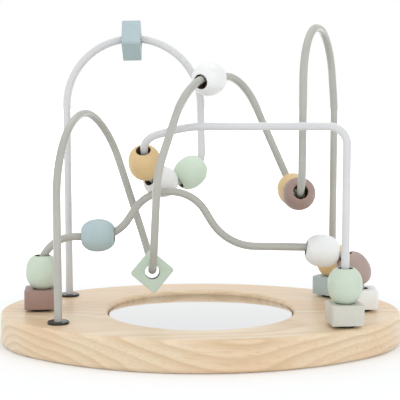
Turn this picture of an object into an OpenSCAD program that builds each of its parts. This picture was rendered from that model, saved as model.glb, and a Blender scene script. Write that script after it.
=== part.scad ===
// Bead maze: an oval wooden board with a round mirror, three bent wires
// and eighteen pierced beads and blocks that travel on them.
// Millimetres; the board rests on z = 0, x runs along the board, the front is -y.

/* [Board] */

// full length of the oval board
board_length = 260; // [230:1:290]
// full depth of the oval board
board_depth = 178; // [165:1:192]
// thickness of the board
board_thick = 20; // [18:0.5:26]
// radius of the two rounded ends of the oval
end_radius = 65; // [60:1:72]
// rounding of the outer top and bottom edges
edge_round = 2.5; // [1:0.25:4]

/* [Mirror] */

// diameter of the mirror disc
mirror_d = 120; // [100:1:126]
// thickness of the mirror disc
mirror_thick = 2; // [1.5:0.25:3]
// thickness of the adhesive pad under the mirror
pad_thick = 0.5; // [0.3:0.1:1]
// distance from the board's top down to the mirror's face
mirror_sink = 2.75; // [2.5:0.25:6]
// gap round the mirror in its recess
mirror_gap = 0.8; // [0.4:0.1:1.5]
// soft rounding of the recess rim
rim_round = 2.75; // [1.5:0.25:4]

/* [Wires] */

// diameter of the coated wires
wire_d = 5; // [4:0.1:5.5]
// height of the left arch's centreline above the floor
arch_top = 196.5; // [190:0.5:210]
// height of the right arch's centreline above the floor
tower_top = 202; // [192:0.5:215]
// height of the middle crest's centreline above the floor
crest_top = 171; // [168:0.5:178]
// height of the low wire's left shelf above the floor
shelf_left = 68; // [66:0.5:72]
// height of the low wire's right shelf above the floor
shelf_right = 60.5; // [60:0.5:65]

/* [Beads] */

// diameter of the round beads
bead_d = 21.25; // [20:0.25:22]
// length of the round beads along their bore
bead_length = 21.2; // [20:0.2:21.6]
// diameter of the flats at the ends of the round beads
bead_flat = 11; // [10.5:0.25:11.5]
// play between a wire and a bead's bore, on the radius
bore_play = 2.2; // [2.1:0.05:2.4]
// chamfer at the mouths of the bores
mouth_cut = 0.5; // [0.2:0.1:0.8]
// side of the square blocks
block_size = 20; // [17:0.25:20]
// length of the square blocks along their bore
block_length = 12.5; // [11:0.25:13]
// bevel on the edges of the blocks
block_bevel = 1; // [0.3:0.1:1.2]
// gap left between a hanging bead and its wire
hang_gap = 0.3; // [0.25:0.05:0.4]
// gap left between pieces that rest on each other
rest_gap = 0.25; // [0.2:0.05:0.4]

/* [Fixings] */

// diameter of the collars where the wires enter the board
collar_d = 13.5; // [12:0.25:15]
// thickness of the collar flange
collar_thick = 1.5; // [1.25:0.25:2.5]
// wall of the collar's spigot inside the board
spigot_wall = 1.5; // [1:0.1:2]
// length of the collar's spigot inside the board
spigot_length = 5; // [4:0.25:6]
// gap between parts that are fitted into each other
fit_gap = 0.1; // [0.1:0.05:0.2]
// diameter of the counterbores under the board
counter_d = 15; // [14:0.25:16]
// depth of the counterbores under the board
counter_depth = 7; // [6:0.25:8]
// outer diameter of the washers
washer_d = 12; // [11:0.25:13]
// thickness of the washers
washer_thick = 1; // [0.8:0.1:1.2]
// width of the nuts across their flats
nut_width = 8; // [8:0.25:9]
// height of the nuts
nut_height = 4; // [3:0.25:4.5]

/* [Hidden] */

$fn = 96;

// stretch of the wire plan with the board, and bends that shrink with it
along = board_length / 260;
deep = board_depth / 178;
snug = min(1, along, deep);
top = board_thick;
lift = board_thick - 20;

// feet of the wires, as places on the board
rear_x = 91 * along;
rear_y = 42 * deep;
front_x = 87.5 * along;
front_left_y = -44.25 * deep;
front_right_y = -51 * deep;
middle_x = 104.25 * along;
middle_y = -3.5 * deep;
FEET = [
    [-rear_x, rear_y], [-middle_x, middle_y], [-front_x, front_left_y],
    [rear_x, rear_y], [middle_x, middle_y], [front_x, front_right_y]
];
wire_end = counter_depth - washer_thick - nut_height;
collar_round = 0.4 * collar_thick;

// how far joined stretches lap into each other, and how much the round ones stand proud
bend_lap = 0.3;
bend_swell = 0.03;

// pierced pieces
bore_d = wire_d + 2 * bore_play;
bead_half = bead_length / 2;
hang = bore_play - hang_gap;
stand = top + collar_thick + rest_gap;
bead_stand = stand + block_length + rest_gap + bead_half;

// outline of a bead's belly, an oval with full shoulders that is cut off by the flat ends,
// turned in narrow bands
fullness = 2.5;
belly_reach = bead_half / pow(1 - pow(bead_flat / bead_d, fullness), 1 / fullness);
belly_half = acos(pow(bead_flat / bead_d, fullness / 2));
belly_bands = 8;
BELLY = [for (band = [-belly_bands : belly_bands])
    let (a = belly_half * band / belly_bands)
    [bead_d / 2 * pow(cos(a), 2 / fullness), belly_reach * sign(a) * pow(abs(sin(a)), 2 / fullness)]];

// recess for the mirror
recess_r = mirror_d / 2 + mirror_gap;
recess_depth = mirror_sink + mirror_thick + pad_thick;

// white wire: corner points and bend radii from the rear left foot to the front right foot
arch_right = 0.5 * along;
arch_r = (rear_x + arch_right) / 2 - 0.5;
WHITE = [
    [-rear_x, rear_y, wire_end, 0],
    [-rear_x, rear_y, arch_top + lift, arch_r],
    [arch_right, rear_y, arch_top + lift, arch_r],
    [0, rear_y, 146 + lift, 24 * snug],
    [along, 29.5 * deep, 109.5 + lift, 22 * snug],
    [-33.25 * along, 16 * deep, 91.5 + lift, 25 * snug],
    [-36.5 * along, -16 * deep, 132 + lift, 12 * snug],
    [-8 * along, -20 * deep, 140 + lift, 80 * snug],
    [front_x, front_right_y, 141.25 + lift, 11 * snug],
    [front_x, front_right_y, wire_end, 0]
];

// tall grey wire: from the front left foot to the rear right foot
TALL = [
    [-front_x, front_left_y, wire_end, 0],
    [-front_x, front_left_y, 147 + lift, 50 * snug],
    [-66 * along, 39 * deep, 147.5 + lift, 34 * snug],
    [-33.5 * along, 28 * deep, 47 + lift, 27 * snug],
    [-30 * along, -29 * deep, 47 + lift, 27 * snug],
    [-26.25 * along, -42 * deep, 113 + lift, 40 * snug],
    [-7.5 * along, -23 * deep, crest_top + lift, 44 * snug],
    [28.5 * along, 38 * deep, crest_top + lift, 24 * snug],
    [62.5 * along, 30.5 * deep, 94 + lift, 21 * snug],
    [63.5 * along, -22.5 * deep, 94 + lift, 21 * snug],
    [63.75 * along, -22.5 * deep, tower_top + lift, 32 * snug],
    [86.5 * along, 38.5 * deep, tower_top + lift, 32 * snug],
    [rear_x, rear_y, 150 + lift, 120 * snug],
    [rear_x, rear_y, wire_end, 0]
];

// low grey wire: from the left foot to the right foot, all in one upright plane,
// its first bend starts where the left bead rests
lean_r = shelf_left + lift - bead_stand;
LOW = [
    [-middle_x, middle_y, wire_end, 0],
    [-middle_x, middle_y, shelf_left + lift, lean_r],
    [-54 * along, middle_y, shelf_left + lift, 25 * snug],
    [-35 * along, middle_y, 97.5 + lift, 26 * snug],
    [-4.5 * along, middle_y, 97 + lift, 26 * snug],
    [16.5 * along, middle_y, shelf_right + 1.5 + lift, 34 * snug],
    [middle_x, middle_y, shelf_right + lift, 30 * snug],
    [middle_x, middle_y, wire_end, 0]
];

// corner, heading, turn and reach of the bends of a route
function corner(route, i) = [route[i][0], route[i][1], route[i][2]];
function heading(route, i) = (corner(route, i + 1) - corner(route, i))
    / norm(corner(route, i + 1) - corner(route, i));
function turn(route, i) = acos(heading(route, i - 1) * heading(route, i));
function reach(route, i) = route[i][3] == 0 ? 0 : route[i][3] * tan(turn(route, i) / 2);
function bend_start(route, i) = route[i][3] == 0 ? corner(route, i)
    : corner(route, i) - heading(route, i - 1) * reach(route, i);
function bend_end(route, i) = route[i][3] == 0 ? corner(route, i)
    : corner(route, i) + heading(route, i) * reach(route, i);
function bend_axis(route, i) = cross(heading(route, i - 1), heading(route, i))
    / norm(cross(heading(route, i - 1), heading(route, i)));
function bend_centre(route, i) = bend_start(route, i)
    + cross(bend_axis(route, i), heading(route, i - 1)) * route[i][3];
function onward(route, i, a) = heading(route, i - 1) * cos(a)
    + cross(bend_axis(route, i), heading(route, i - 1)) * sin(a);
function inward(route, i, a) = cross(bend_axis(route, i), onward(route, i, a));

// frame with its x and z axes given
module framed(at, x, z) {
    y = cross(z, x);
    multmatrix([
        [x[0], y[0], z[0], at[0]],
        [x[1], y[1], z[1], at[1]],
        [x[2], y[2], z[2], at[2]],
        [0, 0, 0, 1]
    ])
    children();
}

// seat on bend i, a degrees after its start, set in towards the bend's centre
module on_bend(route, i, a, set_in) {
    framed(
        bend_centre(route, i) - inward(route, i, a) * (route[i][3] - set_in),
        inward(route, i, a),
        onward(route, i, a)
    )
    children();
}

// wire bent along a route: straight runs that lap into bends drawn a hair thicker
module wire(route) {
    for (i = [0 : len(route) - 2]) {
        way = heading(route, i);
        side = abs(way[2]) > 0.9 ? cross([0, 1, 0], way) : cross([0, 0, 1], way);
        from = bend_end(route, i) - way * (i == 0 ? 0 : bend_lap);
        to = bend_start(route, i + 1) + way * (i == len(route) - 2 ? 0 : bend_lap);
        framed(from, side / norm(side), way)
        cylinder(d = wire_d, h = norm(to - from));
    }
    for (i = [1 : len(route) - 2])
        framed(bend_centre(route, i), -inward(route, i, 0), bend_axis(route, i))
        rotate_extrude(angle = turn(route, i))
        translate([route[i][3], 0])
        circle(d = wire_d + 2 * bend_swell);
}

// round bead with a bellied side and flat ends, bore along z, centred
module bead() {
    difference() {
        rotate_extrude()
        polygon(concat([[0, -bead_half]], BELLY, [[0, bead_half]]));
        cylinder(d = bore_d, h = bead_length + 2, center = true);
        for (side = [0, 180])
            rotate([side, 0, 0])
            translate([0, 0, bead_half - mouth_cut])
            cylinder(d1 = bore_d, d2 = bore_d + 4 * mouth_cut, h = 2 * mouth_cut);
    }
}

// square outline with cut corners, for bevelled blocks
module cut_square(w, h, c) {
    polygon([
        [-w / 2 + c, -h / 2], [w / 2 - c, -h / 2], [w / 2, -h / 2 + c], [w / 2, h / 2 - c],
        [w / 2 - c, h / 2], [-w / 2 + c, h / 2], [-w / 2, h / 2 - c], [-w / 2, -h / 2 + c]
    ]);
}

// square block, bore along z, centred
module block() {
    difference() {
        intersection() {
            linear_extrude(block_length, center = true)
            cut_square(block_size, block_size, block_bevel);
            rotate([90, 0, 0])
            linear_extrude(block_size, center = true)
            cut_square(block_size, block_length, block_bevel);
            rotate([90, 0, 90])
            linear_extrude(block_size, center = true)
            cut_square(block_size, block_length, block_bevel);
        }
        cylinder(d = bore_d, h = block_length + 2, center = true);
    }
}

// round board with rounded edges, the oval's building stone
module rounded_disc(radius) {
    rotate_extrude()
    union() {
        square([radius - edge_round, board_thick]);
        translate([0, edge_round])
        square([radius, board_thick - 2 * edge_round]);
        translate([radius - edge_round, edge_round])
        circle(r = edge_round);
        translate([radius - edge_round, board_thick - edge_round])
        circle(r = edge_round);
    }
}

// oval of two end arcs and two side arcs that run into each other
end_at = board_length / 2 - end_radius;
half_deep = board_depth / 2;
side_at = (pow(end_at, 2) - pow(half_deep - end_radius, 2)) / (2 * (half_deep - end_radius));
side_radius = half_deep + side_at;
split_x = end_at * side_radius / (side_radius - end_radius);

// middle of the oval between the two side arcs
module oval_middle() {
    intersection() {
        translate([0, -side_at, 0])
        rounded_disc(side_radius);
        translate([0, side_at, 0])
        rounded_disc(side_radius);
        translate([-split_x, -board_depth, -1])
        cube([2 * split_x, 2 * board_depth, board_thick + 2]);
    }
}

// end of the oval, which laps a little over the middle
module oval_end() {
    intersection() {
        translate([end_at, 0, 0])
        rounded_disc(end_radius + bend_swell);
        translate([split_x - bend_lap, -board_depth, -1])
        cube([board_length, 2 * board_depth, board_thick + 2]);
    }
}

module base_board() {
    color([0.87, 0.78, 0.62])
    difference() {
        union() {
            oval_middle();
            oval_end();
            rotate([0, 0, 180])
            oval_end();
        }
        translate([0, 0, top - recess_depth])
        cylinder(r = recess_r, h = recess_depth + 1);
        translate([0, 0, top - rim_round])
        rotate_extrude()
        difference() {
            square([recess_r + rim_round, rim_round + 1]);
            translate([recess_r + rim_round, 0])
            circle(r = rim_round);
        }
        for (at = FEET) {
            translate([at[0], at[1], -1])
            cylinder(d = wire_d + 2 * fit_gap, h = board_thick + 2);
            translate([at[0], at[1], -1])
            cylinder(d = counter_d, h = counter_depth + 1);
            translate([at[0], at[1], top - spigot_length - fit_gap])
            cylinder(d = wire_d + 2 * spigot_wall + 4 * fit_gap, h = spigot_length + fit_gap + 1);
        }
    }
}

module mirror_pad() {
    color([0.9, 0.9, 0.85])
    translate([0, 0, top - recess_depth])
    cylinder(d = mirror_d - 4, h = pad_thick);
}

module mirror_disc() {
    color([0.9, 0.91, 0.92])
    translate([0, 0, top - recess_depth + pad_thick])
    cylinder(d = mirror_d, h = mirror_thick);
}

module white_wire() {
    color([0.86, 0.87, 0.87])
    wire(WHITE);
}

module tall_wire() {
    color([0.7, 0.7, 0.67])
    wire(TALL);
}

module low_wire() {
    color([0.7, 0.7, 0.67])
    wire(LOW);
}

module foot_collars() {
    color([0.08, 0.08, 0.08])
    for (at = FEET)
        translate([at[0], at[1], top])
        difference() {
            union() {
                rotate_extrude()
                union() {
                    square([collar_d / 2 - collar_round, collar_thick]);
                    square([collar_d / 2, collar_thick - collar_round]);
                    translate([collar_d / 2 - collar_round, collar_thick - collar_round])
                    circle(r = collar_round);
                }
                translate([0, 0, -spigot_length])
                cylinder(d = wire_d + 2 * spigot_wall + 2 * fit_gap, h = spigot_length + 0.5);
            }
            translate([0, 0, -spigot_length - 1])
            cylinder(d = wire_d + 2 * fit_gap, h = spigot_length + collar_thick + 2);
        }
}

module anchor_washers() {
    color([0.7, 0.7, 0.72])
    for (at = FEET)
        translate([at[0], at[1], counter_depth - washer_thick])
        difference() {
            cylinder(d = washer_d, h = washer_thick);
            translate([0, 0, -1])
            cylinder(d = wire_d + 2 * fit_gap, h = washer_thick + 2);
        }
}

module anchor_nuts() {
    color([0.65, 0.65, 0.67])
    for (at = FEET)
        translate([at[0], at[1], counter_depth - washer_thick - nut_height])
        difference() {
            cylinder(d = nut_width / cos(30), h = nut_height, $fn = 6);
            translate([0, 0, -1])
            cylinder(d = wire_d + fit_gap, h = nut_height + 2);
        }
}

// where the pieces rest: degrees along a bend, how far they are set in towards its centre
// and how they tilt on the wire
arch_rest = turn(WHITE, 1) - 1;
arch_in = 1.2;
valley_in = 1.1;
valley_mid = turn(WHITE, 5) / 2;
valley_high = turn(WHITE, 4) - 11.5;
high_in = 1.3;
valley_edge = WHITE[5][3] - valley_in - bead_flat / 2;
valley_past = bead_half * (1 + cos(valley_mid)) - valley_edge * sin(valley_mid) + rest_gap;
valley_out = -0.7;
swing_rest = 7;
swing_in = -0.8;
crest_rest = turn(TALL, 6) - 4;
crest_in = 1.5;
crest_tilt = -6;
dip_in = 1.6;
dip_rear = turn(TALL, 8) - 18.5;
dip_front = 13;
lean_in = 1.4;
shelf_rest = 3;
shelf_in = 0.85;
curve_high = 8.4;
curve_low = 57.6;
curve_in = 0.4;

// pieces on the white wire

module arch_block() {
    color([0.66, 0.75, 0.75])
    on_bend(WHITE, 1, arch_rest, arch_in)
    rotate([0, 0, 52])
    block();
}

module valley_bead_mint() {
    color([0.76, 0.84, 0.76])
    on_bend(WHITE, 4, valley_high, high_in)
    bead();
}

module valley_bead_white() {
    color([0.94, 0.94, 0.94])
    on_bend(WHITE, 5, valley_mid, valley_in)
    bead();
}

module valley_bead_yellow() {
    color([0.87, 0.75, 0.54])
    on_bend(WHITE, 5, 2 * valley_mid, valley_out)
    translate([0, 0, valley_past])
    bead();
}

module front_block() {
    color([0.82, 0.81, 0.76])
    translate([front_x, front_right_y, stand + block_length / 2])
    rotate([0, 0, 6.5])
    block();
}

module front_bead() {
    color([0.76, 0.84, 0.76])
    translate([front_x, front_right_y, bead_stand])
    bead();
}

// pieces on the tall grey wire

module swing_block() {
    color([0.76, 0.84, 0.76])
    on_bend(TALL, 4, swing_rest, swing_in)
    rotate([0, 0, 52.5])
    block();
}

module crest_bead() {
    color([0.94, 0.94, 0.94])
    on_bend(TALL, 6, crest_rest, crest_in)
    rotate([0, crest_tilt, 0])
    bead();
}

module dip_bead_yellow() {
    color([0.87, 0.75, 0.54])
    on_bend(TALL, 8, dip_rear, dip_in)
    bead();
}

module dip_bead_brown() {
    color([0.6, 0.5, 0.46])
    on_bend(TALL, 9, dip_front, dip_in)
    bead();
}

module rear_block() {
    color([0.66, 0.75, 0.75])
    translate([rear_x, rear_y, stand + block_length / 2])
    rotate([0, 0, -40])
    block();
}

module rear_bead() {
    color([0.87, 0.75, 0.54])
    translate([rear_x, rear_y, bead_stand])
    bead();
}

// pieces on the low grey wire

module left_block() {
    color([0.6, 0.48, 0.44])
    translate([-middle_x, middle_y, stand + block_length / 2])
    rotate([0, 0, 6])
    block();
}

module left_bead() {
    color([0.76, 0.84, 0.76])
    on_bend(LOW, 1, 0, lean_in)
    bead();
}

module shelf_bead() {
    color([0.66, 0.75, 0.77])
    on_bend(LOW, 2, shelf_rest, shelf_in)
    bead();
}

module curve_bead_white() {
    color([0.94, 0.94, 0.94])
    on_bend(LOW, 6, curve_high, hang)
    bead();
}

module curve_bead_brown() {
    color([0.6, 0.5, 0.46])
    on_bend(LOW, 6, curve_low, curve_in)
    bead();
}

module right_block() {
    color([0.94, 0.94, 0.94])
    translate([middle_x, middle_y, stand + block_length / 2])
    rotate([0, 0, 0.5])
    block();
}

base_board();
mirror_pad();
mirror_disc();
white_wire();
tall_wire();
low_wire();
foot_collars();
anchor_washers();
anchor_nuts();
arch_block();
valley_bead_mint();
valley_bead_white();
valley_bead_yellow();
front_block();
front_bead();
swing_block();
crest_bead();
dip_bead_yellow();
dip_bead_brown();
rear_block();
rear_bead();
left_block();
left_bead();
shelf_bead();
curve_bead_white();
curve_bead_brown();
right_block();
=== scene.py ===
# Bead maze: an oval pine board with a round mirror, three coated wires and painted wooden beads.
# Metres; the board stands on z = 0, x runs along the board and the front is -y.
import math

import bmesh
import bpy
from mathutils import Matrix, Vector


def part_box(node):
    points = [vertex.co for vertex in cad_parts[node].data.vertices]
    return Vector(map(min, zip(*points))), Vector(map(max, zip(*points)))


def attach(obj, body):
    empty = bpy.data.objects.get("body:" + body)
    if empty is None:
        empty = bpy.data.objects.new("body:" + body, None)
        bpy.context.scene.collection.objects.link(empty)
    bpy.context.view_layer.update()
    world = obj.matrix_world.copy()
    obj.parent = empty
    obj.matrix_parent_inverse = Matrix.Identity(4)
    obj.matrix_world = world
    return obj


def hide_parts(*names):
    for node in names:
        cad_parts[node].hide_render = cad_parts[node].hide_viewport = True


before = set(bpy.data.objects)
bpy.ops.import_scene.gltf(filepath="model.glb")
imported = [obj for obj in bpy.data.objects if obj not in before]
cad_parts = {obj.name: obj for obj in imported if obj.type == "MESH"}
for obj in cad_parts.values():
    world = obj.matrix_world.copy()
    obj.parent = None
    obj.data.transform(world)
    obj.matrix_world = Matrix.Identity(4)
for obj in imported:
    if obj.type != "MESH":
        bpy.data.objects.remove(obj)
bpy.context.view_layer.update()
mm = 0.001


# The board: one plank of pale pine, cut to an oval, its edges rounded over with a router
# and a round recess turned into its top. It is sanded and finished with a thin matt varnish,
# so the growth rings show as soft warm bands.

def ink(red, green, blue):
    """A colour as the eye reads it, 0 to 255, as the linear value that a shader takes."""
    def straight(level):
        level /= 255
        return level / 12.92 if level <= 0.04045 else ((level + 0.055) / 1.055) ** 2.4
    return (straight(red), straight(green), straight(blue), 1)


def join(tree, socket, value):
    """Feeds a socket from another socket, or sets it to a plain value."""
    if isinstance(value, bpy.types.NodeSocket):
        tree.links.new(value, socket)
    else:
        socket.default_value = value


def put(tree, kind, inputs, **settings):
    """A shader node with its settings and inputs."""
    made = tree.nodes.new(kind)
    for name, value in settings.items():
        setattr(made, name, value)
    for name, value in inputs.items():
        join(tree, made.inputs[name], value)
    return made


def sums(tree, operation, *values):
    """A maths node's result."""
    return put(tree, "ShaderNodeMath", dict(enumerate(values)), operation=operation).outputs[0]


def blend_colours(tree, share, first, second):
    """The first colour, with a share of the second."""
    made = put(tree, "ShaderNodeMix", {"Factor": share}, data_type="RGBA")
    join(tree, made.inputs[6], first)
    join(tree, made.inputs[7], second)
    return made.outputs[2]


def span(tree, value, spread, result):
    """A value mapped from one pair of ends to another, and held between them."""
    ends = {
        "Value": value,
        "From Min": spread[0],
        "From Max": spread[1],
        "To Min": result[0],
        "To Max": result[1],
    }
    return put(tree, "ShaderNodeMapRange", ends).outputs[0]


def speckle(tree, place, stretch, size, detail=2.0):
    """Soft noise: size is the width of its blobs, stretched along the three axes."""
    scale = tuple(1 / along for along in stretch)
    moved = put(tree, "ShaderNodeMapping", {"Vector": place, "Scale": scale})
    inputs = {"Vector": moved.outputs[0], "Scale": 1 / size, "Detail": detail}
    return put(tree, "ShaderNodeTexNoise", inputs).outputs[0]


def new_group(name, ins, outs):
    """An empty shader node group with named inputs and outputs."""
    group = bpy.data.node_groups.new(name, "ShaderNodeTree")
    for label, kind in ins:
        group.interface.new_socket(label, in_out="INPUT", socket_type=kind)
    for label, kind in outs:
        group.interface.new_socket(label, in_out="OUTPUT", socket_type=kind)
    entry = group.nodes.new("NodeGroupInput")
    leave = group.nodes.new("NodeGroupOutput")
    return group, entry.outputs, leave.inputs


def new_finish(name):
    """An empty material: its node tree, its surface shader and the place on the piece."""
    finish = bpy.data.materials.new(name)
    finish.use_nodes = True
    tree = finish.node_tree
    shader = tree.nodes["Principled BSDF"]
    place = tree.nodes.new("ShaderNodeTexCoord").outputs["Object"]
    return finish, tree, shader, place


def emboss(tree, shader, height, depth):
    """Raises the surface by a height from 0 to 1."""
    bump = put(tree, "ShaderNodeBump", {"Height": height, "Distance": depth})
    tree.links.new(bump.outputs[0], shader.inputs["Normal"])


def dress(node, finish):
    """Gives a piece of the frame its finish."""
    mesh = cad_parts[node].data
    mesh.materials.clear()
    mesh.materials.append(finish)


number = "NodeSocketFloat"
vector = "NodeSocketVector"
colour = "NodeSocketColor"
full = (0, 1)
falling = (1, 0)
noise_spread = (0.3, 0.7)

ring_width = 5.2 * mm
sway_size = 55 * mm
sway_reach = 24 * mm
ripple_size = 9 * mm
ripple_reach = 2.4 * mm
late_rise = (0.1, 0.8)
late_fall = (0.8, 1)
late_sharpness = 1.4
late_strength = (0.45, 1)
fibre_size = 0.7 * mm
fleck_size = 1.5 * mm
fleck_cut = (0.58, 0.72)
fleck_patches = (0.4, 0.62)
fleck_strength = (0.15, 1)
cloud_size = 40 * mm

rings, ring_in, ring_out = new_group(
    "Growth rings",
    [("Place", vector), ("Ring Width", number)],
    [("Late Wood", number), ("Fibre", number), ("Fleck", number), ("Cloud", number)],
)
stem = ring_in["Place"]
across = put(rings, "ShaderNodeVectorMath", {0: stem, 1: (0, 1, 1)}, operation="MULTIPLY")
outward = put(rings, "ShaderNodeVectorMath", {0: across.outputs[0]}, operation="LENGTH")
sway = speckle(rings, stem, (3, 1, 1), sway_size, detail=1.5)
ripple = speckle(rings, stem, (7, 1, 1), ripple_size)
bent = sums(rings, "MULTIPLY_ADD", sway, sway_reach, outward.outputs["Value"])
bent = sums(rings, "MULTIPLY_ADD", ripple, ripple_reach, bent)
turns = sums(rings, "DIVIDE", bent, ring_in["Ring Width"])
step = sums(rings, "FRACT", turns)
rise = span(rings, step, late_rise, full)
fall = span(rings, step, late_fall, falling)
band = sums(rings, "POWER", sums(rings, "MULTIPLY", rise, fall), late_sharpness)
year = sums(rings, "FLOOR", turns)
which = put(rings, "ShaderNodeTexWhiteNoise", {"W": year}, noise_dimensions="1D")
strength = span(rings, which.outputs["Value"], full, late_strength)
join(rings, ring_out["Late Wood"], sums(rings, "MULTIPLY", band, strength))
join(rings, ring_out["Fibre"], speckle(rings, stem, (40, 1, 1), fibre_size, detail=3.0))
dashes = speckle(rings, stem, (11, 1, 1), fleck_size, detail=1.0)
dashes = span(rings, dashes, fleck_cut, full)
patches = span(rings, sway, fleck_patches, fleck_strength)
join(rings, ring_out["Fleck"], sums(rings, "MULTIPLY", dashes, patches))
join(rings, ring_out["Cloud"], speckle(rings, stem, (3, 1, 1), cloud_size))

pine_early = ink(233, 213, 184)
pine_late = ink(208, 178, 137)
pine_rosy = ink(232, 203, 169)
pine_fibre = ink(210, 184, 148)
pine_fleck = ink(205, 168, 118)
pith_forward = 44 * mm
pith_below = 34 * mm
pith_tilt = math.radians(-3)
pith_skew = math.radians(-3)
rosy_spread = (0.38, 0.62)
late_most = 0.85
fibre_spread = (0.5, 0.75)
fibre_share = (0, 0.6)
fleck_most = 0.6
pine_roughness = (0.36, 0.5)
grain_depth = 0.05 * mm
varnish_weight = 0.4
varnish_roughness = 0.3

pine, tree, shader, place = new_finish("pine")
heart = put(tree, "ShaderNodeMapping", {
    "Vector": place,
    "Location": (0, pith_forward, pith_below),
    "Rotation": (0, pith_tilt, pith_skew),
})
grain = put(tree, "ShaderNodeGroup", {}, node_tree=rings)
join(tree, grain.inputs["Place"], heart.outputs[0])
join(tree, grain.inputs["Ring Width"], ring_width)
late = grain.outputs["Late Wood"]
fibre = grain.outputs["Fibre"]
warm = span(tree, grain.outputs["Cloud"], rosy_spread, full)
wood = blend_colours(tree, warm, pine_early, pine_rosy)
wood = blend_colours(tree, sums(tree, "MULTIPLY", late, late_most), wood, pine_late)
wood = blend_colours(tree, span(tree, fibre, fibre_spread, fibre_share), wood, pine_fibre)
flecks = sums(tree, "MULTIPLY", grain.outputs["Fleck"], fleck_most)
join(tree, shader.inputs["Base Color"], blend_colours(tree, flecks, wood, pine_fleck))
join(tree, shader.inputs["Roughness"], span(tree, fibre, noise_spread, pine_roughness))
shader.inputs["Coat Weight"].default_value = varnish_weight
shader.inputs["Coat Roughness"].default_value = varnish_roughness
emboss(tree, shader, sums(tree, "ADD", fibre, late), grain_depth)
dress("base_board", pine)


# The adhesive pad: a thin disc of white foam that holds the mirror in its recess.
# It is cut a little smaller than the mirror, so that it never shows from above.

even = (1, 1, 1)
foam_hollow = ink(214, 212, 204)
foam_wall = ink(238, 237, 231)
foam_cell = 0.8 * mm
foam_spread = (0, 0.8)
foam_roughness = 0.9
foam_depth = 0.1 * mm

foam, tree, shader, place = new_finish("foam_pad")
cells = put(tree, "ShaderNodeTexVoronoi", {"Vector": place, "Scale": 1 / foam_cell})
walls = span(tree, cells.outputs["Distance"], foam_spread, full)
join(tree, shader.inputs["Base Color"], blend_colours(tree, walls, foam_hollow, foam_wall))
shader.inputs["Roughness"].default_value = foam_roughness
emboss(tree, shader, cells.outputs["Distance"], foam_depth)
dress("mirror_pad", foam)


# The mirror: a disc of silvered acrylic, safe for small children, laser-cut and let into
# the recess. Its edge is flame-polished round, and its face has a faint haze from wiping.

weld = 0.01 * mm
rim_steps = 4
crisp_angle = math.radians(30)


def clear_selection():
    """Leaves nothing selected, so that an operator acts on the new piece alone."""
    if bpy.context.object and bpy.context.object.mode != "OBJECT":
        bpy.ops.object.mode_set(mode="OBJECT")
    bpy.ops.object.select_all(action="DESELECT")


def select_edges(wanted):
    """In edit mode, selects the edges whose two ends pass a test of their place."""
    bpy.ops.mesh.select_mode(type="EDGE")
    bpy.ops.mesh.select_all(action="DESELECT")
    working = bmesh.from_edit_mesh(bpy.context.object.data)
    for edge in working.edges:
        edge.select_set(all(wanted(end.co) for end in edge.verts))
    bmesh.update_edit_mesh(bpy.context.object.data)


def settle(piece, body, slot, *stands_for):
    """Fixes a finished piece to its body, in place of the plain solids of the frame."""
    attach(piece, body)
    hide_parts(*stands_for)


mirror_low, mirror_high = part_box("mirror_disc")
mirror_size = mirror_high - mirror_low
mirror_sides = 192
mirror_edge = 0.5 * mm
mirror_tint = ink(226, 227, 228)
wipe_size = 30 * mm
wipe_spread = (0.35, 0.7)
mirror_roughness = (0.03, 0.07)

clear_selection()
bpy.ops.mesh.primitive_cylinder_add(
    vertices=mirror_sides,
    radius=mirror_size.x / 2,
    depth=mirror_size.z,
    location=(mirror_low + mirror_high) / 2,
)
bpy.ops.object.transform_apply(location=True, rotation=True, scale=True)
mirror_plate = bpy.context.object
mirror_plate.name = "mirror_plate"
bpy.ops.object.mode_set(mode="EDIT")
select_edges(lambda end: end.z > mirror_high.z - weld)
bpy.ops.mesh.bevel(offset=mirror_edge, segments=rim_steps, affect="EDGES")
bpy.ops.object.mode_set(mode="OBJECT")
bpy.ops.object.shade_smooth_by_angle(angle=crisp_angle)

silver, tree, shader, place = new_finish("silvered_acrylic")
wipe = speckle(tree, place, even, wipe_size, detail=4.0)
shader.inputs["Base Color"].default_value = mirror_tint
shader.inputs["Metallic"].default_value = 1
join(tree, shader.inputs["Roughness"], span(tree, wipe, wipe_spread, mirror_roughness))
mirror_plate.data.materials.append(silver)
settle(mirror_plate, "frame", "mirror", "mirror_disc")


# The wires: steel rod of five millimetres, bent on a jig to three routes and coated with smooth
# plastic. One is white and two are warm grey; their feet go down through the board to the nuts.
# A route lists its corners in millimetres, each with the radius of the bend there.

wire_radius = 2.5 * mm
wire_sides = 28
bend_step = math.radians(4)
drift_size = 30 * mm
coat_roughness = (0.24, 0.3)
round_angle = math.radians(40)


def coat_wire(name, pale, deep):
    """Plastic coat with a slow drift in its shade and a smooth sheen."""
    coat, tree, shader, place = new_finish(name)
    drift = speckle(tree, place, even, drift_size)
    share = span(tree, drift, noise_spread, full)
    join(tree, shader.inputs["Base Color"], blend_colours(tree, share, pale, deep))
    join(tree, shader.inputs["Roughness"], span(tree, drift, noise_spread, coat_roughness))
    return coat


def push(way):
    """In edit mode, extrudes what is selected along a way."""
    bpy.ops.mesh.extrude_region_move(TRANSFORM_OT_translate={"value": way})


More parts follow.
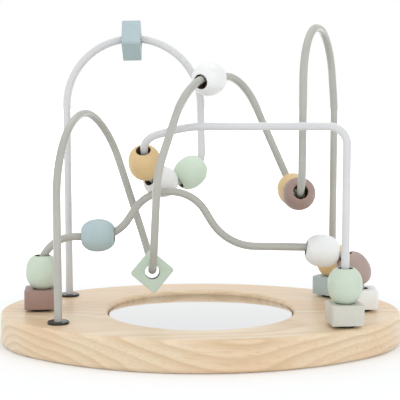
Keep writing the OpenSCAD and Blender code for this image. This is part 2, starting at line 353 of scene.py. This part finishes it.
def bent_wire(node, route, coat, slot):
    """Rod drawn up from its foot, along each straight and round each bend of its route."""
    corners = [Vector(stop[:3]) * mm for stop in route]
    clear_selection()
    bpy.ops.mesh.primitive_circle_add(
        vertices=wire_sides,
        radius=wire_radius,
        location=corners[0],
        fill_type="NGON",
    )
    bpy.ops.object.transform_apply(location=True, rotation=True, scale=True)
    wire = bpy.context.object
    wire.name = "bent_" + node
    bpy.ops.object.mode_set(mode="EDIT")
    bpy.ops.mesh.select_all(action="SELECT")
    at = corners[0]
    for before, corner, after, stop in zip(corners, corners[1:], corners[2:], route[1:]):
        heading = (corner - before).normalized()
        leaving = (after - corner).normalized()
        turn = heading.angle(leaving)
        axis = heading.cross(leaving).normalized()
        radius = stop[3] * mm
        start = corner - heading * radius * math.tan(turn / 2)
        push(start - at)
        bpy.ops.mesh.spin(
            steps=math.ceil(turn / bend_step),
            angle=-turn,
            center=start + axis.cross(heading) * radius,
            axis=axis,
        )
        at = corner + leaving * radius * math.tan(turn / 2)
    push(corners[-1] - at)
    bpy.ops.mesh.select_all(action="SELECT")
    bpy.ops.mesh.remove_doubles(threshold=weld)
    bpy.ops.mesh.normals_make_consistent(inside=False)
    bpy.ops.object.mode_set(mode="OBJECT")
    bpy.ops.object.shade_smooth_by_angle(angle=round_angle)
    wire.data.materials.append(coat)
    settle(wire, "frame", slot, node)


white_route = [
    (-91, 42, 2, 0),
    (-91, 42, 196.5, 45.25),
    (0.5, 42, 196.5, 45.25),
    (0, 42, 146, 24),
    (1, 29.5, 109.5, 22),
    (-33.25, 16, 91.5, 25),
    (-36.5, -16, 132, 12),
    (-8, -20, 140, 80),
    (87.5, -51, 141.25, 11),
    (87.5, -51, 2, 0),
]
tall_route = [
    (-87.5, -44.25, 2, 0),
    (-87.5, -44.25, 147, 50),
    (-66, 39, 147.5, 34),
    (-33.5, 28, 47, 27),
    (-30, -29, 47, 27),
    (-26.25, -42, 113, 40),
    (-7.5, -23, 171, 44),
    (28.5, 38, 171, 24),
    (62.5, 30.5, 94, 21),
    (63.5, -22.5, 94, 21),
    (63.75, -22.5, 202, 32),
    (86.5, 38.5, 202, 32),
    (91, 42, 150, 120),
    (91, 42, 2, 0),
]
low_route = [
    (-104.25, -3.5, 2, 0),
    (-104.25, -3.5, 68, 22.9),
    (-54, -3.5, 68, 25),
    (-35, -3.5, 97.5, 26),
    (-4.5, -3.5, 97, 26),
    (16.5, -3.5, 62, 34),
    (104.25, -3.5, 60.5, 30),
    (104.25, -3.5, 2, 0),
]
white_coat = coat_wire("white_coat", ink(217, 218, 219), ink(210, 211, 213))
grey_coat = coat_wire("grey_coat", ink(182, 182, 175), ink(174, 174, 167))
bent_wire("white_wire", white_route, white_coat, "white_coat")
bent_wire("tall_wire", tall_route, grey_coat, "grey_coat")
bent_wire("low_wire", low_route, grey_coat, "grey_coat")


# The collars: black moulded plastic, pressed into the board round each wire's foot.
# They hide the drilled holes and have the gloss of polished tooling.

collar_black = ink(12, 12, 12)
collar_grey = ink(24, 24, 23)
flow_size = 3 * mm
collar_roughness = (0.16, 0.26)

gloss_black, tree, shader, place = new_finish("gloss_black")
flow = speckle(tree, place, even, flow_size, detail=3.0)
join(tree, shader.inputs["Base Color"], blend_colours(tree, flow, collar_black, collar_grey))
join(tree, shader.inputs["Roughness"], span(tree, flow, noise_spread, collar_roughness))
dress("foot_collars", gloss_black)


# The fixings: plated washers and nuts that draw each wire down from below, in counterbores.
# The plating is thin and a little dull, with a fine bloom.

zinc_dull = ink(168, 169, 171)
zinc_bright = ink(206, 206, 205)
bloom_size = 2 * mm
zinc_roughness = (0.28, 0.5)
bloom_depth = 0.02 * mm

zinc, tree, shader, place = new_finish("zinc_plate")
bloom = speckle(tree, place, even, bloom_size, detail=4.0)
join(tree, shader.inputs["Base Color"], blend_colours(tree, bloom, zinc_dull, zinc_bright))
shader.inputs["Metallic"].default_value = 1
join(tree, shader.inputs["Roughness"], span(tree, bloom, noise_spread, zinc_roughness))
emboss(tree, shader, bloom, bloom_depth)
dress("anchor_washers", zinc)
dress("anchor_nuts", zinc)


# The round beads: turned from hardwood, drilled through, their mouths softened, then painted.
# The bores stay bare wood, drawn darker than that wood as painted shade inside them.

cloudy_size = 9 * mm
peel_size = 0.9 * mm
streak_size = 0.6 * mm
cloudy_shade = (0.955, 1.02)
streak_shade = (-0.012, 0.012)
streak_height = 0.5
paint_roughness = (0.38, 0.5)
paint_depth = 0.02 * mm

painted, paint_in, paint_out = new_group(
    "Painted wood",
    [("Place", vector), ("Colour", colour)],
    [("Colour", colour), ("Roughness", number), ("Height", number)],
)
cloudy = speckle(painted, paint_in["Place"], even, cloudy_size, detail=3.0)
peel = speckle(painted, paint_in["Place"], even, peel_size)
streak = speckle(painted, paint_in["Place"], (1, 1, 14), streak_size)
broad_shade = span(painted, cloudy, noise_spread, cloudy_shade)
fine_shade = span(painted, streak, noise_spread, streak_shade)
shade = sums(painted, "ADD", broad_shade, fine_shade)
tint = {0: paint_in["Colour"], "Scale": shade}
toned = put(painted, "ShaderNodeVectorMath", tint, operation="SCALE")
join(painted, paint_out["Colour"], toned.outputs[0])
join(painted, paint_out["Roughness"], span(painted, peel, noise_spread, paint_roughness))
join(painted, paint_out["Height"], sums(painted, "MULTIPLY_ADD", streak, streak_height, peel))


def paint(name, shade_of):
    """Satin water-based paint over wood."""
    finish, tree, shader, place = new_finish(name)
    layer = put(tree, "ShaderNodeGroup", {}, node_tree=painted)
    join(tree, layer.inputs["Place"], place)
    join(tree, layer.inputs["Colour"], shade_of)
    join(tree, shader.inputs["Base Color"], layer.outputs["Colour"])
    join(tree, shader.inputs["Roughness"], layer.outputs["Roughness"])
    emboss(tree, shader, layer.outputs["Height"], paint_depth)
    return finish


mint = paint("mint_paint", ink(202, 216, 199))
# The valley bead's copy of the mint paint is made lighter, as painted light on that bead.
mint_with_painted_light = paint("mint_paint_with_painted_light", ink(211, 228, 210))
white = paint("white_paint", ink(239, 241, 240))
honey = paint("honey_paint", ink(222, 193, 142))
brown = paint("brown_paint", ink(157, 133, 124))
# The curve bead's copy of the brown paint is made lighter, as painted light on that bead.
brown_with_painted_light = paint("brown_paint_with_painted_light", ink(171, 151, 143))
# The shelf bead's copy of the blue paint is made lighter, as painted light on that bead.
shelf_blue_with_painted_light = paint("blue_paint_with_painted_light_on_shelf", ink(177, 197, 200))

# Bare wood inside the bores, darkened well below its own colour as painted shade in the holes.
bore_dark = ink(70, 52, 36)
bore_light = ink(112, 86, 60)
drilled_size = 0.8 * mm
bore_roughness = 0.8
drilled_depth = 0.08 * mm

bore_wood_and_shade, tree, shader, place = new_finish("bore_wood_with_painted_shade")
drilled = speckle(tree, place, even, drilled_size, detail=3.0)
join(tree, shader.inputs["Base Color"], blend_colours(tree, drilled, bore_dark, bore_light))
shader.inputs["Roughness"].default_value = bore_roughness
emboss(tree, shader, drilled, drilled_depth)

bead_radius = 10.625 * mm
bead_half = 10.6 * mm
bead_end = 5.5 * mm
bead_fullness = 2.25
bead_bands = 16
bead_steps = 72
end_round = 0.35 * mm
bore_radius = 4.7 * mm
mouth_round = 0.35 * mm
slack = 0.05 * mm


def bore_line(name):
    """Middle of a pierced piece, and the way that its bore runs.

    The bore runs the way that most of the piece's outer faces look.
    """
    low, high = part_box(name)
    middle = (low + high) / 2
    flats = {}
    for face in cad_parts[name].data.polygons:
        if face.normal.dot(face.center - middle) > 0:
            way = tuple(round(part, 3) for part in face.normal)
            flats[way] = flats.get(way, 0) + face.area
    return middle, Vector(max(flats, key=flats.get)).normalized()


def from_axis(point):
    """Distance of a point from the z axis."""
    return math.hypot(point.x, point.y)


def round_rim(radius, half_length, size):
    """In edit mode, rounds the two rims of a radius on the flat ends of a piece along z."""
    select_edges(lambda end: abs(from_axis(end) - radius) < slack
                 and abs(abs(end.z) - half_length) < slack)
    bpy.ops.mesh.bevel(offset=size, segments=rim_steps, affect="EDGES")


def select_faces(wanted):
    """In edit mode, selects the faces that pass a test."""
    bpy.ops.mesh.select_mode(type="FACE")
    bpy.ops.mesh.select_all(action="DESELECT")
    working = bmesh.from_edit_mesh(bpy.context.object.data)
    for face in working.faces:
        face.select_set(wanted(face))
    bmesh.update_edit_mesh(bpy.context.object.data)


def finish_bore(piece, half_length, finish):
    """Softens the mouths of a bore along z, and gives its inside bare wood darkened with painted
    shade.
    """
    piece.data.materials.append(finish)
    piece.data.materials.append(bore_wood_and_shade)
    bpy.ops.object.mode_set(mode="EDIT")
    round_rim(bore_radius, half_length, mouth_round)
    inside = bore_radius + slack
    select_faces(lambda face: all(from_axis(end.co) < inside for end in face.verts))
    piece.active_material_index = 1
    bpy.ops.object.material_slot_assign()
    bpy.ops.object.mode_set(mode="OBJECT")


def bead_outline():
    """Half outline of a bead, up its belly and back down its bore.

    Each point is a distance from the bore's line and a height.
    """
    reach = bead_half / (1 - (bead_end / bead_radius) ** bead_fullness) ** (1 / bead_fullness)
    last = math.acos((bead_end / bead_radius) ** (bead_fullness / 2))
    outline = [(bore_radius, -bead_half)]
    for band in range(-bead_bands, bead_bands + 1):
        angle = last * band / bead_bands
        out = bead_radius * math.cos(angle) ** (2 / bead_fullness)
        up = reach * abs(math.sin(angle)) ** (2 / bead_fullness)
        outline.append((out, math.copysign(up, angle)))
    outline.append((bore_radius, bead_half))
    outline.append((bore_radius, -bead_half))
    return outline


def turned_bead(name, finish, slot):
    """Full-shouldered bead, turned from its outline with flat ends and a bore, set on its wire.

    A small plane, merged to one point, is the start of the outline.
    """
    middle, bore = bore_line(name)
    stops = [Vector((out, 0, up)) for out, up in bead_outline()]
    clear_selection()
    bpy.ops.mesh.primitive_plane_add(size=mm, location=stops[0])
    bpy.ops.object.transform_apply(location=True, rotation=True, scale=True)
    bead = bpy.context.object
    bead.name = "turned_" + name
    bpy.ops.object.mode_set(mode="EDIT")
    bpy.ops.mesh.select_mode(type="VERT")
    bpy.ops.mesh.select_all(action="SELECT")
    bpy.ops.mesh.merge(type="CENTER")
    for before, after in zip(stops, stops[1:]):
        push(after - before)
    bpy.ops.mesh.select_all(action="SELECT")
    bpy.ops.mesh.spin(steps=bead_steps, angle=2 * math.pi, center=(0, 0, 0), axis=(0, 0, 1))
    bpy.ops.mesh.select_all(action="SELECT")
    bpy.ops.mesh.remove_doubles(threshold=weld)
    bpy.ops.mesh.normals_make_consistent(inside=False)
    round_rim(bead_end, bead_half, end_round)
    bpy.ops.object.mode_set(mode="OBJECT")
    finish_bore(bead, bead_half, finish)
    bpy.ops.object.shade_smooth_by_angle(angle=round_angle)
    turn = Vector((0, 0, 1)).rotation_difference(bore).to_matrix().to_4x4()
    bead.data.transform(Matrix.Translation(middle) @ turn)
    settle(bead, name, slot, name)


for name, finish, slot in (
    ("valley_bead_mint", mint_with_painted_light, "mint_paint"),
    ("front_bead", mint, "mint_paint"),
    ("left_bead", mint, "mint_paint"),
    ("valley_bead_white", white, "white_paint"),
    ("crest_bead", white, "white_paint"),
    ("curve_bead_white", white, "white_paint"),
    ("valley_bead_yellow", honey, "natural_wood"),
    ("dip_bead_yellow", honey, "natural_wood"),
    ("rear_bead", honey, "natural_wood"),
    ("dip_bead_brown", brown, "brown_paint"),
    ("curve_bead_brown", brown_with_painted_light, "brown_paint"),
    ("shelf_bead", shelf_blue_with_painted_light, "blue_paint"),
):
    turned_bead(name, finish, slot)


# The square blocks: sawn from a planed strip whose long edges are eased, then drilled through.
# Their sawn ends are only lightly sanded, so the edges there stay crisp.
# They are painted like the beads.

blue = paint("blue_paint", ink(172, 191, 194))
# The swing block's copy of the mint paint is made darker, as painted shade on that block.
mint_with_painted_shade = paint("mint_paint_with_painted_shade", ink(196, 212, 195))
umber = paint("umber_paint", ink(158, 129, 120))
sage = paint("sage_paint", ink(206, 205, 194))
# The rear block's copy of the blue paint is made lighter, as painted light where that block sits in
# the others' shade.
rear_blue_with_painted_light = paint("blue_paint_with_painted_light_on_rear_block", ink(183, 201, 203))
block_width = 20 * mm
block_length = 12.5 * mm
long_edge_round = 1.15 * mm
long_edge_fullness = 0.31
long_edge_steps = 5
end_edge_round = 0.5 * mm
end_edge_steps = 3
drill_sides = 64
square_to = 0.05


def block_side(name, bore):
    """Way that one flat side of a block faces, read from the frame's own solid."""
    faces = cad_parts[name].data.polygons
    sides = [face for face in faces if abs(face.normal.dot(bore)) < square_to]
    return max(sides, key=lambda face: face.area).normal.copy()


def select_end_edges():
    """In edit mode, selects the edges round the two ends of a block along z."""
    select_faces(lambda face: abs(face.normal.z) > 1 - square_to)
    bpy.ops.mesh.region_to_loop()


def sawn_block(name, finish, slot):
    """Block with eased edges and a drilled bore, set on its wire."""
    middle, bore = bore_line(name)
    clear_selection()
    bpy.ops.mesh.primitive_cylinder_add(
        vertices=drill_sides,
        radius=bore_radius,
        depth=2 * block_length,
    )
    drill = bpy.context.object
    clear_selection()
    bpy.ops.mesh.primitive_cube_add(size=1)
    block = bpy.context.object
    block.name = "sawn_" + name
    bpy.ops.object.mode_set(mode="EDIT")
    bpy.ops.mesh.select_all(action="SELECT")
    bpy.ops.transform.resize(value=(block_width, block_width, block_length))
    select_end_edges()
    bpy.ops.mesh.select_all(action="INVERT")
    bpy.ops.mesh.bevel(
        offset=long_edge_round,
        segments=long_edge_steps,
        profile=long_edge_fullness,
        affect="EDGES",
    )
    select_end_edges()
    bpy.ops.mesh.bevel(offset=end_edge_round, segments=end_edge_steps, affect="EDGES")
    bpy.ops.object.mode_set(mode="OBJECT")
    hole = block.modifiers.new("hole", "BOOLEAN")
    hole.object = drill
    hole.operation = "DIFFERENCE"
    bpy.ops.object.modifier_apply(modifier="hole")
    bpy.data.objects.remove(drill)
    finish_bore(block, block_length / 2, finish)
    bpy.ops.object.shade_smooth_by_angle(angle=crisp_angle)
    side = block_side(name, bore)
    turn = Matrix((side, bore.cross(side), bore)).transposed().to_4x4()
    block.data.transform(Matrix.Translation(middle) @ turn)
    settle(block, name, slot, name)


for name, finish, slot in (
    ("arch_block", blue, "blue_paint"),
    ("rear_block", rear_blue_with_painted_light, "blue_paint"),
    ("swing_block", mint_with_painted_shade, "mint_paint"),
    ("front_block", sage, "sage_paint"),
    ("left_block", umber, "brown_paint"),
    ("right_block", white, "white_paint"),
):
    sawn_block(name, finish, slot)


# The studio: a white floor, wide soft lamps above, in front and to both sides, and a white
# surround. The camera stands in front of the board, a little below the top of the arches.

plain_white = (1, 1, 1, 1)
floor_size = 12
floor_drop = 0.1 * mm
floor_colour = (0.885, 0.9, 0.912, 1)
glow_reach = (0.2, 0.6)
glow_strength = (0.08, 1)
surround_strength = (0.8, 1)


def looked_at(tree):
    """One for rays that carry a view, straight, reflected or through glass, and nought for light."""
    path = tree.nodes.new("ShaderNodeLightPath")
    seen = sums(tree, "MAXIMUM", path.outputs["Is Camera Ray"], path.outputs["Is Glossy Ray"])
    return sums(tree, "MAXIMUM", seen, path.outputs["Is Transmission Ray"])


clear_selection()
bpy.ops.mesh.primitive_plane_add(size=floor_size, location=(0, 0, -floor_drop))
floor = bpy.context.object
floor.name = "floor"
paper = bpy.data.materials.new("paper")
paper.use_nodes = True
tree = paper.node_tree
tree.nodes.remove(tree.nodes["Principled BSDF"])
matt = put(tree, "ShaderNodeBsdfDiffuse", {"Color": floor_colour})
glow = put(tree, "ShaderNodeEmission", {"Color": plain_white})
place = tree.nodes.new("ShaderNodeTexCoord").outputs["Object"]
away = put(tree, "ShaderNodeVectorMath", {0: place}, operation="LENGTH")
fade = span(tree, away.outputs["Value"], glow_reach, glow_strength)
join(tree, glow.inputs["Strength"], sums(tree, "MULTIPLY", looked_at(tree), fade))
both = put(tree, "ShaderNodeAddShader", {0: matt.outputs[0], 1: glow.outputs[0]})
join(tree, tree.nodes["Material Output"].inputs["Surface"], both.outputs[0])
floor.data.materials.append(paper)

world = bpy.data.worlds.new("surround")
bpy.context.scene.world = world
world.use_nodes = True
tree = world.node_tree
air = tree.nodes["Background"]
air.inputs["Color"].default_value = plain_white
join(tree, air.inputs["Strength"], span(tree, looked_at(tree), full, surround_strength))

lamp_target = Vector((0, 0, 0.08))


def soft_lamp(name, place, size, power):
    """Wide square lamp that faces the middle of the toy."""
    lamp = bpy.data.lights.new(name, "AREA")
    lamp.shape = "SQUARE"
    lamp.size = size
    lamp.energy = power
    holder = bpy.data.objects.new(name, lamp)
    bpy.context.scene.collection.objects.link(holder)
    holder.location = place
    holder.rotation_mode = "QUATERNION"
    holder.rotation_quaternion = (lamp_target - Vector(place)).to_track_quat("-Z", "Y")


soft_lamp("top_lamp", place=(0, 0.2, 1.2), size=1.2, power=3)
soft_lamp("left_lamp", place=(-1.1, -0.8, 0.8), size=0.7, power=2)
soft_lamp("right_lamp", place=(1.1, -0.7, 0.6), size=0.7, power=2)
soft_lamp("front_lamp", place=(0.1, -1.6, 0.35), size=1.0, power=2.5)

camera_place = (-0.4 * mm, -694 * mm, 167.8 * mm)
camera_dip = 6.28
camera_data = bpy.data.cameras.new("camera")
camera_data.lens = 96.9
camera_data.sensor_width = 36
camera = bpy.data.objects.new("camera", camera_data)
bpy.context.scene.collection.objects.link(camera)
camera.location = camera_place
camera.rotation_euler = (math.radians(90 - camera_dip), 0, 0)
bpy.context.scene.camera = camera
bpy.context.scene.view_settings.view_transform = "Standard"

bpy.context.view_layer.update()
